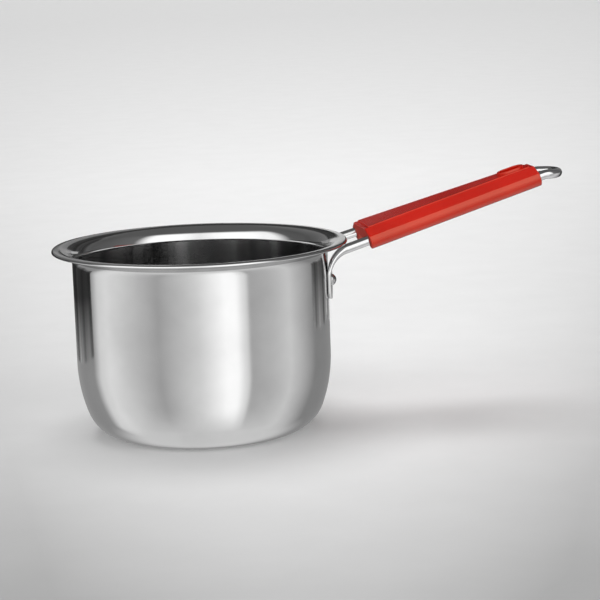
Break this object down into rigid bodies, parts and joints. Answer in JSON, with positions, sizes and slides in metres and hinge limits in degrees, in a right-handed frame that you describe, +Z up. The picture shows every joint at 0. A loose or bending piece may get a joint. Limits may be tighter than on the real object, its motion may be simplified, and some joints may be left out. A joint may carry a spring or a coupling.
{
  "type": "milk pan",
  "caption": "Deep polished steel milk pan with a wide flared rim and a riveted wire handle in a moulded red grip, used to warm liquids on a hob.",
  "frame": {"origin": "centre of the flat base, on the surface the pan stands on", "axes": "+Z up along the pan's axis, +X along the handle away from the pan"},
  "size_m": [0.3291, 0.185, 0.1574],
  "materials": {
    "polished_steel": "mirror-polished stainless steel",
    "bright_rod": "bright drawn steel",
    "red_plastic": "glossy moulded plastic",
    "rivet_steel": "satin"
  },
  "bodies": {
    "root": {"pan_body": "polished_steel", "handle_rod": "bright_rod", "grip": "red_plastic", "rivet_left": "rivet_steel", "rivet_right": "rivet_steel"}
  },
  "joints": []
}
